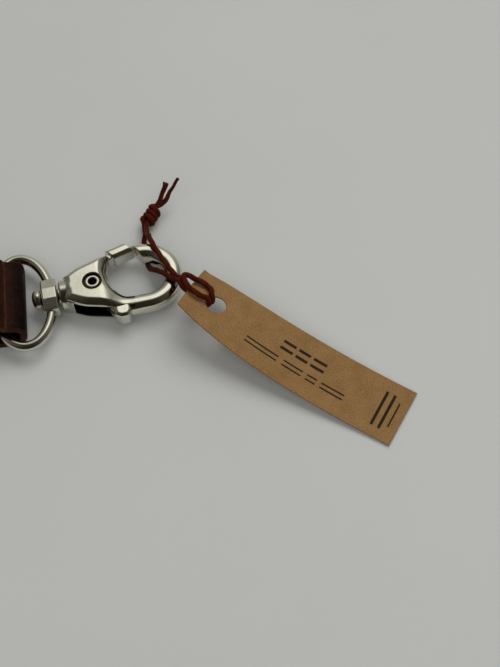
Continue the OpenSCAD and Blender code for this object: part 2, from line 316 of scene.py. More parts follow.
def field_mesh(field, low, high, step):
    """Surface nets over a grid, then every point pulled onto the surface.

    Returns the points, the quads and the normals.
    """
    axes = [np.arange(a, b + step, step) for a, b in zip(low, high)]
    value = field(axes[0][:, None, None], axes[1][None, :, None], axes[2][None, None, :])
    value = np.broadcast_to(value, [len(a) for a in axes])
    inside = value < 0
    cells = tuple(len(a) - 1 for a in axes)

    def corner(grid, o):
        return grid[o[0] : o[0] + cells[0], o[1] : o[1] + cells[1], o[2] : o[2] + cells[2]]

    offsets = [(i, j, k) for i in (0, 1) for j in (0, 1) for k in (0, 1)]
    count = sum(corner(inside, o).astype(np.int8) for o in offsets)
    active = (count > 0) & (count < 8)
    where = np.argwhere(active)
    index = np.full(cells, -1)
    index[active] = np.arange(len(where))
    total = np.zeros((len(where), 3))
    hits = np.zeros(len(where))
    for o in offsets:
        for axis in range(3):
            if o[axis]:
                continue
            far = tuple(c + (1 if i == axis else 0) for i, c in enumerate(o))
            a = corner(value, o)[active]
            b = corner(value, far)[active]
            crosses = (a < 0) != (b < 0)
            t = np.where(crosses, a / np.where(crosses, a - b, 1), 0)
            at = np.tile(np.array(o, float), (len(where), 1))
            at[:, axis] += t
            total += at * crosses[:, None]
            hits += crosses
    points = np.array(low) + step * (where + total / hits[:, None])
    quads = []
    for axis in range(3):
        others = [i for i in range(3) if i != axis]
        size = [len(a) for a in axes]
        here = [slice(1, size[i] - 1) for i in range(3)]
        here[axis] = slice(0, size[axis] - 1)
        there = list(here)
        there[axis] = slice(1, size[axis])
        a, b = inside[tuple(here)], inside[tuple(there)]
        spots = np.argwhere(a != b)
        for i in others:
            spots[:, i] += 1
        starts = inside[tuple(spots.T)]
        around = []
        for da, db in ((-1, -1), (0, -1), (0, 0), (-1, 0)):
            cell = spots.copy()
            cell[:, others[0]] += da
            cell[:, others[1]] += db
            around.append(index[tuple(cell.T)])
        around = np.stack(around, 1)
        flip = starts if axis != 1 else ~starts
        quads.append(np.where(flip[:, None], around, around[:, ::-1]))
    for _ in range(3):
        slope = gradient(field, points)
        move = field(*points.T) / np.maximum((slope**2).sum(1), 0.25)
        points = points - np.clip(move, -step, step)[:, None] * slope
    slope = gradient(field, points)
    normals = slope / np.maximum(np.linalg.norm(slope, axis=1), 1e-9)[:, None]
    return points, np.vstack(quads), normals


def casting(name, field, low, high, body, material, inner=None, step=0.18):
    """inner(u, v, w) is 1 where the surface is an unplated inner one, which gets painted shade, and 0
    elsewhere.
    """
    points, quads, normals = field_mesh(field, low, high, step)
    piece = make_mesh(name, to_row(points), quads, body, material, normals @ TURN.T)
    if inner:
        # the mask of painted shade on the inner surfaces
        layer = piece.data.attributes.new("InnerShade", "FLOAT", "POINT")
        layer.data.foreach_set("value", inner(*points.T).astype(np.float32))
    return piece


UPPER_FLANK = [(3.6, 3.4), (5, 4.4), (7, 5.5), (9, 6.2), (11, 6.8), (13, 7.5), (14.8, 8.2)]
THROAT = [(16.0, 7.0), (15.0, 5.3), (14.3, 2.6), (14.5, 0.4)]
THROAT += [(15.2, -1.4), (16.3, -3.0), (18, -4.3), (20.5, -5.0)]
LOWER_FLANK = [(20, -8.95), (17.5, -8.6), (15, -8.0), (12.5, -7.3)]
LOWER_FLANK += [(10, -6.6), (8, -6.0), (6, -5.0), (3.6, -3.5)]
HOUSING = np.vstack([catmull(UPPER_FLANK, 4), catmull(THROAT, 4), catmull(LOWER_FLANK, 4)])
SLOT = [(5.4, -12), (5.4, 12), (17, 12), (17, -2.4), (15.1, -2.4), (18.2, -7.3), (18.2, -12)]
SLOT_HALF = 2.2
# the housing thins from THIN_FROM over THIN_RUN, and its crown falls away within CROWN_REACH of the edge
THIN_FROM = 12
THIN_RUN = 9
THIN_BY = 3.1
CROWN = 0.6
CROWN_REACH = 2.2


def bend_line():
    """Centre line of the hook's bar: straight under the opening, then round the bend to the nose."""
    arc = np.radians(np.linspace(-90, NOSE_ANGLE, 60))
    line = [(15.5, -6.6), (17.4, -6.85), (20, -6.95)]
    line += [(BEND[0] + BEND_R * math.cos(a), BEND[1] + BEND_R * math.sin(a)) for a in arc]
    return line


BEND_LINE = bend_line()


def hook_field(u, v, w):
    thin = smoothstep((u - THIN_FROM) / THIN_RUN)
    plan = outline_distance(u, v, HOUSING)
    crown = CROWN * (1 - np.clip(-plan, 0, CROWN_REACH) / CROWN_REACH) ** 2
    half = BODY_HALF - THIN_BY * thin - crown * (1 - thin)
    housing = rounded(plan, np.abs(w) - half, 2.0)
    bar = rounded(line_distance(u, v, BEND_LINE) - BAR_HALF_W, np.abs(w) - BAR_HALF_T, 1.85)
    from_pivot = np.sqrt((u - PIVOT_U) ** 2 + v**2)
    nose = np.maximum(from_pivot - GATE_R - NOSE_GAP, 3 - v)
    bar = smooth_max(bar, -nose, 0.4)
    solid = smooth_min(housing, bar, 1.2)
    from_axis = np.sqrt(v * v + w * w)
    solid = smooth_min(solid, rounded(from_axis - COLLAR_R, np.abs(u - 4) - 1.5, 0.45), 0.5)
    solid = np.minimum(solid, rounded(from_axis - NECK_R, np.abs(u - 2.6) - 0.55, 0.1))
    slot = np.maximum(outline_distance(u, v, SLOT), np.abs(w) - SLOT_HALF)
    solid = smooth_max(solid, -slot, 0.25)
    recess = np.maximum(from_pivot - RECESS_R, BODY_HALF - RECESS_T - np.abs(w))
    solid = smooth_max(solid, -recess, 0.2)
    return np.maximum(solid, RIVET_HOLE_R - from_pivot)


def soft_step(value):
    """0 below -0.1 mm and 1 above 0.1 mm."""
    return smoothstep((value + 0.1) / 0.2)


# where the hook gets painted shade: inside the slot and in the rivet's recess
def hook_inner_shade(u, v, w):
    from_pivot = np.hypot(u - PIVOT_U, v)
    in_slot = soft_step(-0.45 - outline_distance(u, v, HOUSING))
    in_slot *= soft_step(SLOT_HALF + 0.12 - np.abs(w))
    in_recess = soft_step(RECESS_R + 0.15 - from_pivot) * soft_step(BODY_HALF - 0.45 - np.abs(w))
    return np.maximum(in_slot * (u > 5), in_recess)


GATE_BAR = [(13.4, 7.35), (17.2, 8.25), (20, 9.05), (24.6, 10.4)]
GATE_NECK = [(9.2, 2.6), (11.6, 6.4), (13.2, 7.2), (17, 8.9), (17.6, 7.6), (15.4, 6.2), (14.2, 3), (13.2, 0)]
# the gate's near end is cut slanting: a point of the cut, and the way it faces
GATE_CUT = (15, 9)
GATE_CUT_FACES = (-0.79, -0.61)
TAB = (16.5, -8.3)
TAB_OUTLINE = [(15.3, -7.1), (15.25, -9.2), (16.1, -9.7), (17.3, -9.65), (17.8, -8.9), (17.8, -7.1)]


# where the lever gets painted shade: inside the housing's outline, away from the tab
def lever_inner_shade(u, v, w):
    away_from_tab = soft_step(np.hypot(u - TAB[0], v - TAB[1]) - 2.6)
    return soft_step(-0.2 - outline_distance(u, v, HOUSING)) * away_from_tab


def lever_field(u, v, w):
    from_pivot = np.sqrt((u - PIVOT_U) ** 2 + v**2)
    hub = rounded(from_pivot - HUB_R, np.abs(w) - LEVER_HALF, 0.2)
    neck = rounded(outline_distance(u, v, GATE_NECK), np.abs(w) - LEVER_HALF, 0.4)
    gate = rounded(line_distance(u, v, GATE_BAR) - 1.65, np.abs(w) - BAR_HALF_T, 1.25)
    cut = GATE_CUT_FACES[0] * (u - GATE_CUT[0]) + GATE_CUT_FACES[1] * (v - GATE_CUT[1])
    gate = smooth_max(gate, cut, 0.3)
    gate = smooth_max(gate, from_pivot - GATE_R, 0.35)
    arm = rounded(line_distance(u, v, [(PIVOT_U, 0), TAB]) - 1.75, np.abs(w) - 1.95, 0.6)
    tab = rounded(outline_distance(u, v, TAB_OUTLINE) - 0.75, np.abs(w) - 2.35, 0.9)
    solid = smooth_min(np.minimum(hub, neck), gate, 0.3)
    solid = smooth_min(solid, smooth_min(arm, tab, 0.8), 0.3)
    return np.maximum(solid, RIVET_HOLE_R - from_pivot)


BLOCK = [(4.4, 1.6), (1.4, 2.4), (-1.4, 2.4), (-4.4, 1.6)]
BLOCK += [(-4.4, -1.6), (-1.4, -2.4), (1.4, -2.4), (4.4, -1.6)]


def eye_line():
    angles = np.radians(np.linspace(EYE_MOUTH - 4, 364 - EYE_MOUTH, 88))
    return [
        (EYE_CENTRE + EYE_HALF_LENGTH * math.cos(a), EYE_SHIFT + EYE_HALF_WIDTH * math.sin(a))
        for a in angles
    ]


EYE_LINE = eye_line()


def eye_field(u, v, w):
    wire = np.sqrt(line_distance(u, v, EYE_LINE) ** 2 + w * w) - WIRE_R
    block = rounded(outline_distance(v, w, BLOCK), np.abs(u) - BLOCK_HALF, 0.45)
    solid = smooth_min(wire, block, 0.35)
    return smooth_max(solid, BLOCK_BORE_R - np.sqrt(v * v + w * w), 0.15)


# ---------------------------------------------------------------------------------------------------------
# Materials
# ---------------------------------------------------------------------------------------------------------


class Shader:
    """A material's nodes, with short ways to add and join them."""

    def __init__(self, name):
        self.material = bpy.data.materials.new(name)
        self.material.use_nodes = True
        self.tree = self.material.node_tree
        self.surface = self.tree.nodes["Principled BSDF"]

    def add(self, kind, **inputs):
        node = self.tree.nodes.new(kind)
        for key, value in inputs.items():
            self.put(node, key.replace("_", " "), value)
        return node

    def put(self, node, socket, value):
        if isinstance(value, bpy.types.NodeSocket):
            self.tree.links.new(value, node.inputs[socket])
        else:
            node.inputs[socket].default_value = value

    def place(self):
        return self.add("ShaderNodeTexCoord").outputs["Object"]

    def noise(self, scale, detail=4, rough=0.55, at=None):
        node = self.add("ShaderNodeTexNoise", Scale=scale, Detail=detail, Roughness=rough)
        self.put(node, "Vector", at or self.place())
        return node.outputs["Fac"]

    def cells(self, scale, feature="F1", at=None):
        node = self.add("ShaderNodeTexVoronoi", Scale=scale)
        node.feature = feature
        self.put(node, "Vector", at or self.place())
        return node.outputs["Distance"]

    def ramp(self, value, *stops):
        node = self.add("ShaderNodeValToRGB", Fac=value)
        while len(node.color_ramp.elements) < len(stops):
            node.color_ramp.elements.new(0.5)
        for element, (at, colour) in zip(node.color_ramp.elements, stops):
            element.position = at
            element.color = (*colour, 1) if np.ndim(colour) else (colour, colour, colour, 1)
        return node.outputs["Color"]

    def math(self, how, a, b=0.0, c=0.0):
        node = self.add("ShaderNodeMath")
        node.operation = how
        for i, value in enumerate((a, b, c)):
            if isinstance(value, bpy.types.NodeSocket):
                self.tree.links.new(value, node.inputs[i])
            else:
                node.inputs[i].default_value = value
        return node.outputs["Value"]

    def mix(self, factor, a, b):
        node = self.add("ShaderNodeMix")
        node.data_type = "RGBA"
        for i, value in ((0, factor), (6, a), (7, b)):
            if isinstance(value, bpy.types.NodeSocket):
                self.tree.links.new(value, node.inputs[i])
            else:
                node.inputs[i].default_value = (*value, 1) if np.ndim(value) else value
        return node.outputs[2]

    def bump(self, height, strength, distance_m, below=None):
        node = self.add("ShaderNodeBump", Strength=strength, Distance=distance_m, Height=height)
        if below:
            self.put(node, "Normal", below)
        return node.outputs["Normal"]


def plated_metal(name, base=(0.75, 0.735, 0.635), rough=0.12, pits=0.25):
    """Warm nickel plate on a die casting: uneven gloss, a faint ripple, sparse pits and hairline scratches.

    Where the point attribute is 1, inside the slot and the rivet's recess, the colour is painted shade and
    the zinc is dull.
    """
    s = Shader(name)
    inner = s.add("ShaderNodeAttribute")
    inner.attribute_name = "InnerShade"
    inner = inner.outputs["Fac"]
    tint = tuple(c * 0.9 for c in base)
    plate = s.mix(s.ramp(s.noise(220, 5), (0.35, 0.0), (0.65, 1.0)), tint, base)
    # painted shade: a near-black colour for the inner surfaces, which lie in shade
    painted_shade = s.mix(s.noise(500, 4), (0.020, 0.015, 0.011), (0.085, 0.070, 0.052))
    s.put(s.surface, "Base Color", s.mix(inner, plate, painted_shade))
    s.put(s.surface, "Metallic", 1.0)
    gloss = s.math("MULTIPLY_ADD", s.noise(900, 3), 0.12, rough - 0.05)
    s.put(s.surface, "Roughness", s.math("MULTIPLY_ADD", inner, 0.3, gloss))
    ripple = s.bump(s.noise(260, 2), 0.22, 0.00012)
    pit = s.ramp(s.cells(1300), (0.05, 0.0), (0.13, 1.0))
    pit = s.math("MAXIMUM", pit, s.ramp(s.noise(160, 2), (0.52, 1.0), (0.60, 0.0)))
    pitted = s.bump(pit, pits, 0.00006, ripple)
    lines = s.add("ShaderNodeMapping", Vector=s.place())
    lines.inputs["Scale"].default_value = (400, 9000, 4000)
    lines.inputs["Rotation"].default_value = (0.2, 0.1, 0.5)
    scratch = s.ramp(s.noise(1, 2, at=lines.outputs["Vector"]), (0.3, 0.0), (0.36, 1.0))
    s.put(s.surface, "Normal", s.bump(scratch, 0.12, 0.00001, pitted))
    return s.material


def strap_leather(crease_at, half_w):
    """Dark oiled leather: pebbled grain, worn red-brown on the raised parts and dark in the pores.

    The map Place holds the distance along the strip and across it. The fold's crease is lighter as a
    painted highlight, and the burnished edges are lighter red-brown.
    """
    s = Shader("leather")
    place = s.add("ShaderNodeUVMap")
    place.uv_map = "Place"
    split = s.add("ShaderNodeSeparateXYZ", Vector=place.outputs["UV"])
    off_crease = s.math("ABSOLUTE", s.math("SUBTRACT", split.outputs["X"], crease_at))
    # painted highlight: the leather is lighter along the fold's crease
    crease_highlight = s.ramp(s.math("DIVIDE", off_crease, 3.0), (0.05, 1.0), (0.30, 0.22), (1.0, 0.0))
    off_middle = s.math("DIVIDE", s.math("ABSOLUTE", split.outputs["Y"]), half_w)
    edge = s.ramp(off_middle, (0.955, 0.0), (0.99, 0.55))
    grain = s.cells(1500, "SMOOTH_F1")
    fine = s.noise(5200, 3)
    wear = s.noise(170, 4)
    dark, warm, worn = (0.0035, 0.0011, 0.0005), (0.011, 0.0030, 0.0014), (0.05, 0.011, 0.004)
    tone = s.mix(s.ramp(wear, (0.35, 0.0), (0.7, 1.0)), dark, warm)
    tone = s.mix(s.math("MULTIPLY", s.ramp(s.noise(700, 5), (0.55, 0.0), (0.8, 1.0)), 0.5), tone, worn)
    uneven = s.ramp(s.noise(520, 4), (0.25, 0.45), (0.7, 1.0))
    # the painted crease highlight and the burnished edges, both uneven in patches
    crease_highlight_and_burnish = s.math("MULTIPLY", s.math("MAXIMUM", crease_highlight, edge), uneven)
    tone = s.mix(crease_highlight_and_burnish, tone, (0.105, 0.032, 0.015))
    s.put(s.surface, "Base Color", tone)
    s.put(s.surface, "Roughness", s.math("MULTIPLY_ADD", grain, 0.25, 0.42))
    s.put(s.surface, "Specular IOR Level", 0.12)
    pebble = s.bump(s.math("ADD", grain, s.math("MULTIPLY", fine, 0.3)), 0.5, 0.00012)
    s.put(s.surface, "Normal", s.bump(s.noise(420, 3), 0.3, 0.0003, pebble))
    return s.material


def kraft_card(bars):
    """Brown recycled card with fibres and flecks, and plain ink bars where the map Place says, in mm."""
    s = Shader("card")
    place = s.add("ShaderNodeUVMap")
    place.uv_map = "Place"
    at = place.outputs["UV"]
    cloud = s.noise(0.25, 4, at=at)
    fleck = s.noise(2.4, 5, 0.85, at=at)
    light, mid, dark = (0.345, 0.190, 0.074), (0.265, 0.144, 0.053), (0.085, 0.040, 0.014)
    tone = s.mix(s.ramp(cloud, (0.3, 0.0), (0.7, 1.0)), mid, light)
    tone = s.mix(s.math("MULTIPLY", s.ramp(fleck, (0.50, 0.0), (0.66, 1.0)), 0.8), tone, dark)
    stretched = s.add("ShaderNodeMapping", Vector=at)
    stretched.inputs["Scale"].default_value = (0.9, 6.0, 1.0)
    fibre = s.noise(2.6, 4, 0.7, at=stretched.outputs["Vector"])
    tone = s.mix(s.math("MULTIPLY", s.ramp(fibre, (0.52, 0.0), (0.66, 1.0)), 0.42), tone, (0.58, 0.39, 0.19))
    split = s.add("ShaderNodeSeparateXYZ", Vector=at)
    along, across = split.outputs["X"], split.outputs["Y"]
    ink = None
    for low_s, high_s, low_k, high_k in bars:
        inside = s.math("MULTIPLY", band(s, along, low_s, high_s), band(s, across, low_k, high_k))
        ink = inside if ink is None else s.math("MAXIMUM", ink, inside)
    worn_ink = s.math("MULTIPLY", ink, s.ramp(s.noise(5, 3, at=at), (0.3, 0.82), (0.5, 0.97)))
    s.put(s.surface, "Base Color", s.mix(worn_ink, tone, (0.012, 0.010, 0.009)))
    s.put(s.surface, "Roughness", 0.85)
    s.put(s.surface, "Specular IOR Level", 0.25)
    rough = s.bump(fleck, 0.25, 0.00006)
    s.put(s.surface, "Normal", s.bump(s.noise(0.6, 3, at=at), 0.25, 0.0004, rough))
    return s.material


def band(s, value, low, high):
    """1 between low and high, with a soft edge of a tenth of a millimetre."""
    rise = s.add("ShaderNodeMapRange")
    middle, half = (low + high) / 2, (high - low) / 2
    off = s.math("ABSOLUTE", s.math("SUBTRACT", value, middle))
    s.tree.links.new(off, rise.inputs["Value"])
    rise.inputs["From Min"].default_value = half - 0.05
    rise.inputs["From Max"].default_value = half + 0.05
    rise.inputs["To Min"].default_value = 1
    rise.inputs["To Max"].default_value = 0
    return rise.outputs["Result"]


def waxed_cord():
    """Dark red-brown waxed thread: fine strands along the lay, with painted shade in the low parts of their
    bump.
    """
    s = Shader("cord")
    place = s.add("ShaderNodeUVMap")
    place.uv_map = "Place"
    slant = s.add("ShaderNodeMapping", Vector=place.outputs["UV"])
    slant.inputs["Scale"].default_value = (1.3, 5.0, 1.0)
    slant.inputs["Rotation"].default_value = (0, 0, 0.35)
    strand = s.noise(2.2, 3, at=slant.outputs["Vector"])
    blotch = s.noise(600, 3)
    dark, red = (0.013, 0.0015, 0.0008), (0.135, 0.0145, 0.0050)
    # painted shade: dark where the strand bump is low, in its grooves
    tone = s.mix(s.ramp(strand, (0.38, 0.0), (0.68, 1.0)), dark, red)
    tone = s.mix(s.math("MULTIPLY", blotch, 0.35), tone, (0.10, 0.019, 0.006))
    s.put(s.surface, "Base Color", tone)
    s.put(s.surface, "Roughness", 0.6)
    s.put(s.surface, "Specular IOR Level", 0.10)
    s.put(s.surface, "Normal", s.bump(strand, 0.6, 0.00012))
    return s.material


def floor_paint():
    s = Shader("floor")
    tone = s.mix(s.ramp(s.noise(9, 3), (0.3, 0.0), (0.7, 1.0)), (0.615, 0.620, 0.597), (0.640, 0.645, 0.622))
    s.put(s.surface, "Base Color", tone)
    s.put(s.surface, "Roughness", 0.6)
    s.put(s.surface, "Specular IOR Level", 0.3)
    s.put(s.surface, "Normal", s.bump(s.noise(700, 3), 0.06, 0.0002))
    return s.material


# ---------------------------------------------------------------------------------------------------------
# Strap and its fold rivet
# ---------------------------------------------------------------------------------------------------------


# top of the fold as (distance behind the tip, height): it steps up where the leather is creased
FOLD_TOP = [(-1.0, 6.9), (-2.4, 7.7), (-4.1, 8.0), (-4.8, 8.5)]
FOLD_TOP += [(-5.3, 9.5), (-6.3, 9.9), (-8.5, 9.9), (-10.5, 9.5)]
CREASE_BACK = 4.8
LAYER_GAP = 0.02


def strap_top(x):
    rise = smoothstep((x - SHUT_X) / (OPEN_X - SHUT_X))
    return STACK_T + (2 * LOOP_R - STACK_T) * rise


def strap_line():
    """Centre line of the folded strip, as (x, z): out along the bottom, round the fold, back on top."""
    half = LEATHER_T / 2
    step = 1.2
    bend = TIP_X - LOOP_R
    lean = LOOP_R - half
    end = STRAP_LOW[0]
    round_end = end + (STRAP_W / 2) * (1 - np.cos(np.radians(np.arange(3, 90, 5))))
    bottom = [(x, half) for x in round_end]
    bottom += [(x, half) for x in np.arange(round_end[-1] + step, bend, step)]
    arc = [(bend + lean * math.cos(a), LOOP_R + lean * math.sin(a)) for a in np.radians(np.arange(-90, 1, 9))]
    fold = [(TIP_X + x, z - half) for x, z in FOLD_TOP]
    fold = [tuple(p) for p in even(catmull([arc[-2], arc[-1]] + fold, 8)[8:], 0.35)]
    fold_x, fold_z = fold[-1]
    back = np.concatenate([np.arange(fold_x - 0.9, round_end[-1] + 0.6, -0.9), round_end[::-1]])
    lift = fold_z + half - strap_top(fold_x)
    top = []
    for x in back:
        rise = lift * smoothstep((x - SHUT_X) / (fold_x - SHUT_X))
        top.append((x, strap_top(x) + rise - half + LAYER_GAP))
    return np.array(bottom + arc[:-1] + fold + top)


def strip_section(half_w, half_t, corner=0.42, across=22):
    """A closed rounded-edge strip section as (y, up) points."""
    corner = min(corner, half_w * 0.9)
    turn = np.radians(np.arange(0, 91, 22.5))
    points = []
    for sy, su, angles in ((1, 1, turn), (-1, 1, turn[::-1]), (-1, -1, turn), (1, -1, turn[::-1])):
        for a in angles:
            y = half_w - corner + corner * math.cos(a)
            up = half_t - corner + corner * math.sin(a)
            points.append((sy * y, su * up))
    flat = np.linspace(half_w - corner, corner - half_w, across)[1:-1]
    top = [(y, half_t) for y in flat]
    bottom = [(-y, -half_t) for y in flat]
    return points[:5] + top + points[5:15] + bottom + points[15:]


def make_strap():
    line = strap_line()
    tangent = np.gradient(line, axis=0)
    tangent /= np.linalg.norm(tangent, axis=1)[:, None]
    run = np.concatenate([[0], np.cumsum(np.linalg.norm(np.diff(line, axis=0), axis=1))])
    top_side = np.arange(len(line)) > np.argmax(line[:, 0])
    crease_at = float(np.interp(-(TIP_X - CREASE_BACK), -line[top_side, 0], run[top_side]))
    material = strap_leather(crease_at, STRAP_W / 2)
    middle = STRAP_LOW[0] + STRAP_W / 2
    points, places = [], []
    for (x, z), (tx, tz), at in zip(line, tangent, run):
        inset = max(0.0, middle - x)
        half_w = math.sqrt(max((STRAP_W / 2) ** 2 - inset**2, 0.25))
        for y, up in strip_section(half_w, LEATHER_T / 2):
            points.append((x + tz * up, y, z - tx * up))
            places.append((at, y))
    sides = len(strip_section(5, LEATHER_T / 2))
    faces = ring_faces(len(line), sides)
    faces += [tuple(range(sides))[::-1], tuple(range((len(line) - 1) * sides, len(line) * sides))]
    centre_y = (STRAP_LOW[1] + STRAP_HIGH[1]) / 2
    points_m = (np.array(points) + [0, centre_y, 0]) * MM
    strap = make_mesh("strap_strip", points_m, faces, "strap", material, uv=places)
    strap.data.flip_normals()
    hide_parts("strap")


def rivet_profile(radius, height):
    """A domed cap with a rolled edge, from the axis out and back under."""
    dome = [
        (radius * 0.86 * math.sin(a), height * (0.55 + 0.45 * math.cos(a)))
        for a in np.radians(np.arange(0, 91, 9))
    ]
    roll = [
        (radius * (0.93 + 0.07 * math.cos(a)), height * (0.32 + 0.32 * math.sin(a)))
        for a in np.radians(np.arange(60, -91, -15))
    ]
    return [(0, height)] + dome[1:] + roll + [(0, 0)]


def make_caps(material):
    for name, node, low, high, sign in (
        ("cap_top", "rivet_cap", STACK_T, STACK_T + CAP_T, 1),
        ("cap_under", "rivet_post", CAP_T / 2, 0, -1),
    ):
        points, faces = lathe(rivet_profile(CAP_R, abs(high - low)))
        points = points * [1, sign, sign] + [RIVET_X, 0, low]
        cap = make_mesh(name, points * MM, faces, "strap", material)
        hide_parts(node)


# ---------------------------------------------------------------------------------------------------------
# Swivel pin and gate rivet
# ---------------------------------------------------------------------------------------------------------


def make_pin(material):
    """The pin's head, upset outside the eye's block, and the shank that shows between block and hook."""
    head = [(0, 4.4)]
    head += [(2.35 * math.sin(a), 3.35 + 1.05 * math.cos(a)) for a in np.radians(np.arange(10, 91, 10))]
    head += [(2.4, 3.1), (2.4, 2.5), (2.25, 2.2), (2.0, 2.1), (1.5, 2.08), (1.5, -4.9), (0, -4.9)]
    points, faces = lathe(head)
    along = points[:, [2, 1, 0]] * [-1, 1, 1]
    pin = make_mesh("swivel_pin_turned", to_row(along), faces, "hook", material)
    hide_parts("swivel_pin")


def make_gate_rivet(material):
    """A tubular rivet with both ends rolled over."""
    bore, shank, lip, face = 0.98, 1.3, 1.74, BODY_HALF - RECESS_T
    rolled = [(bore, 0.0)]
    half = [(bore, face + 0.1)]
    half += [
        ((bore + lip) / 2 + (lip - bore) / 2 * math.copysign(abs(math.cos(a)) ** 0.6, math.cos(a)),
         face + 0.22 + 0.24 * math.sin(a))
        for a in np.radians(np.arange(180, -31, -15))
    ]
    half += [(lip - 0.05, face), (shank, face - 0.02)]
    profile = rolled + half + [(r, -h) for r, h in half[::-1]]
    sides = 48
    angles = 2 * np.pi * np.arange(sides) / sides
    points = [(PIVOT_U + r * math.cos(a), r * math.sin(a), h) for r, h in profile for a in angles]
    faces = ring_faces(len(profile), sides, closed=True)
    rivet = make_mesh("gate_rivet_rolled", to_row(points), faces, "hook", material)
    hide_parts("gate_rivet")


# ---------------------------------------------------------------------------------------------------------
# Hang tag
# ---------------------------------------------------------------------------------------------------------

TAG_PTS = np.array([[33.5, -7.2, 8.3], [44.8, -23.4, 6.5], [59.4, -35.3, 0.6], [73.9, -49.1, 0.45]])
TAG_W = 15
CARD_T = 0.4
TAG_LIFT = math.radians(26)
TAG_LENGTH = 60
HOLE_T = 8 / TAG_LENGTH
HOLE_R = 2.5
TAG_SKEW = 2


def ruled(words, k_low, k_high, thick):
    """Plain double rules in place of a printed line: one pair for each (start, end) along the tag."""
    bars = []
    for start, end in words:
        bars += [(start, end, k_low, k_low + thick), (start, end, k_high - thick, k_high)]
    return bars


PRINT_BARS = ruled([(26.0, 29.4), (30.2, 33.4), (34.2, 37.8)], -2.9, -0.3, 0.75)
PRINT_BARS += ruled([(18.2, 27.0), (28.4, 33.6), (34.8, 37.4), (38.6, 44.6)], 1.7, 3.3, 0.42)
PRINT_BARS += [(52.6, 53.3, -4.4, 5.0), (54.5, 55.2, -4.4, 5.0), (56.4, 56.8, -3.0, 3.6)]


def bezier(t):
    a, b, c, d = TAG_PTS
    return (1 - t) ** 3 * a + 3 * t * (1 - t) ** 2 * b + 3 * t * t * (1 - t) * c + t**3 * d


def bezier_slope(t):
    a, b, c, d = TAG_PTS
    return 3 * (1 - t) ** 2 * (b - a) + 6 * t * (1 - t) * (c - b) + 3 * t * t * (d - c)


def tag_point(t, k, above):
    """A point of the tag in the hook frame, heights above the table."""
    along = unit(bezier_slope(t))
    lift = TAG_LIFT * min(1.0, 1 - t) ** 4
    across = unit(np.cross(along, [0, 0, 1]))
    up = np.cross(across, along)
    wide = math.cos(lift) * across + math.sin(lift) * up
    normal = unit(np.cross(wide, along))
    return bezier(t) + wide * k + normal * above


TAG_T = np.linspace(-0.05, 1, 421)
TAG_STEPS = np.linalg.norm(np.diff([bezier(t) for t in TAG_T], axis=0), axis=1)
TAG_RUN = np.concatenate([[0], np.cumsum(TAG_STEPS)])
TAG_RUN -= np.interp(0, TAG_T, TAG_RUN)


def make_tag(material):
    hole_s = float(np.interp(HOLE_T, TAG_T, TAG_RUN))
    length = TAG_RUN[-1]
    reach = 4.5
    inner = np.arange(hole_s - reach, length - 0.4, 1.0)
    rows = np.concatenate([np.linspace(0, inner[0], 4)[:-1], inner, [length]])
    columns = np.arange(-TAG_W / 2, TAG_W / 2 + 0.01, 1.0)
    flat, at, cells = [], {}, []

    def vertex(s, k):
        s += max(0.0, 1 - s / inner[0]) * TAG_SKEW * 2 * k / TAG_W
        key = (round(s, 4), round(k, 4))
        if key not in at:
            at[key] = len(flat)
            flat.append((s, k))
        return at[key]

    for i in range(len(rows) - 1):
        for j in range(len(columns) - 1):
            middle = ((rows[i] + rows[i + 1]) / 2 - hole_s, (columns[j] + columns[j + 1]) / 2)
            if max(abs(middle[0]), abs(middle[1])) > reach:
                corners = [(rows[i], columns[j]), (rows[i + 1], columns[j])]
                corners += [(rows[i + 1], columns[j + 1]), (rows[i], columns[j + 1])]
                cells.append([vertex(*c) for c in corners])
    steps = np.arange(-reach, reach)
    square = [(x, -reach) for x in steps] + [(reach, x) for x in steps]
    square += [(-x, reach) for x in steps] + [(-reach, -x) for x in steps]
    rings = []
    for part in (0, 0.2, 0.45, 0.7, 0.88, 1):
        ring = []
        for x, y in square:
            angle = math.atan2(y, x)
            ring_x = x + part * (HOLE_R * math.cos(angle) - x)
            ring_y = y + part * (HOLE_R * math.sin(angle) - y)
            ring.append(vertex(hole_s + ring_x, ring_y))
        rings.append(ring)
    for outer, closer in zip(rings[:-1], rings[1:]):
        for i in range(len(outer)):
            n = (i + 1) % len(outer)
            cells.append([outer[i], outer[n], closer[n], closer[i]])
    count = len(flat)
    points = []
    for above in (CARD_T / 2, -CARD_T / 2):
        points += [tag_point(float(np.interp(s, TAG_RUN, TAG_T)), k, above) for s, k in flat]
    edges = {}
    for cell in cells:
        for a, b in zip(cell, cell[1:] + cell[:1]):
            edges[(a, b)] = True
    rim = [(a, b) for a, b in edges if (b, a) not in edges]
    faces = cells + [[c + count for c in cell[::-1]] for cell in cells]
    faces += [[b, a, a + count, b + count] for a, b in rim]
    tag = make_mesh("tag_card", to_row(points, 0), faces, "tag", material, uv=flat + flat)
    tag.data.set_sharp_from_angle(angle=math.radians(40))
    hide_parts("hang_tag")


# ---------------------------------------------------------------------------------------------------------
# Cord: one length, from one cut end through the knot, over the hook, hitched to the tag, and back
# ---------------------------------------------------------------------------------------------------------

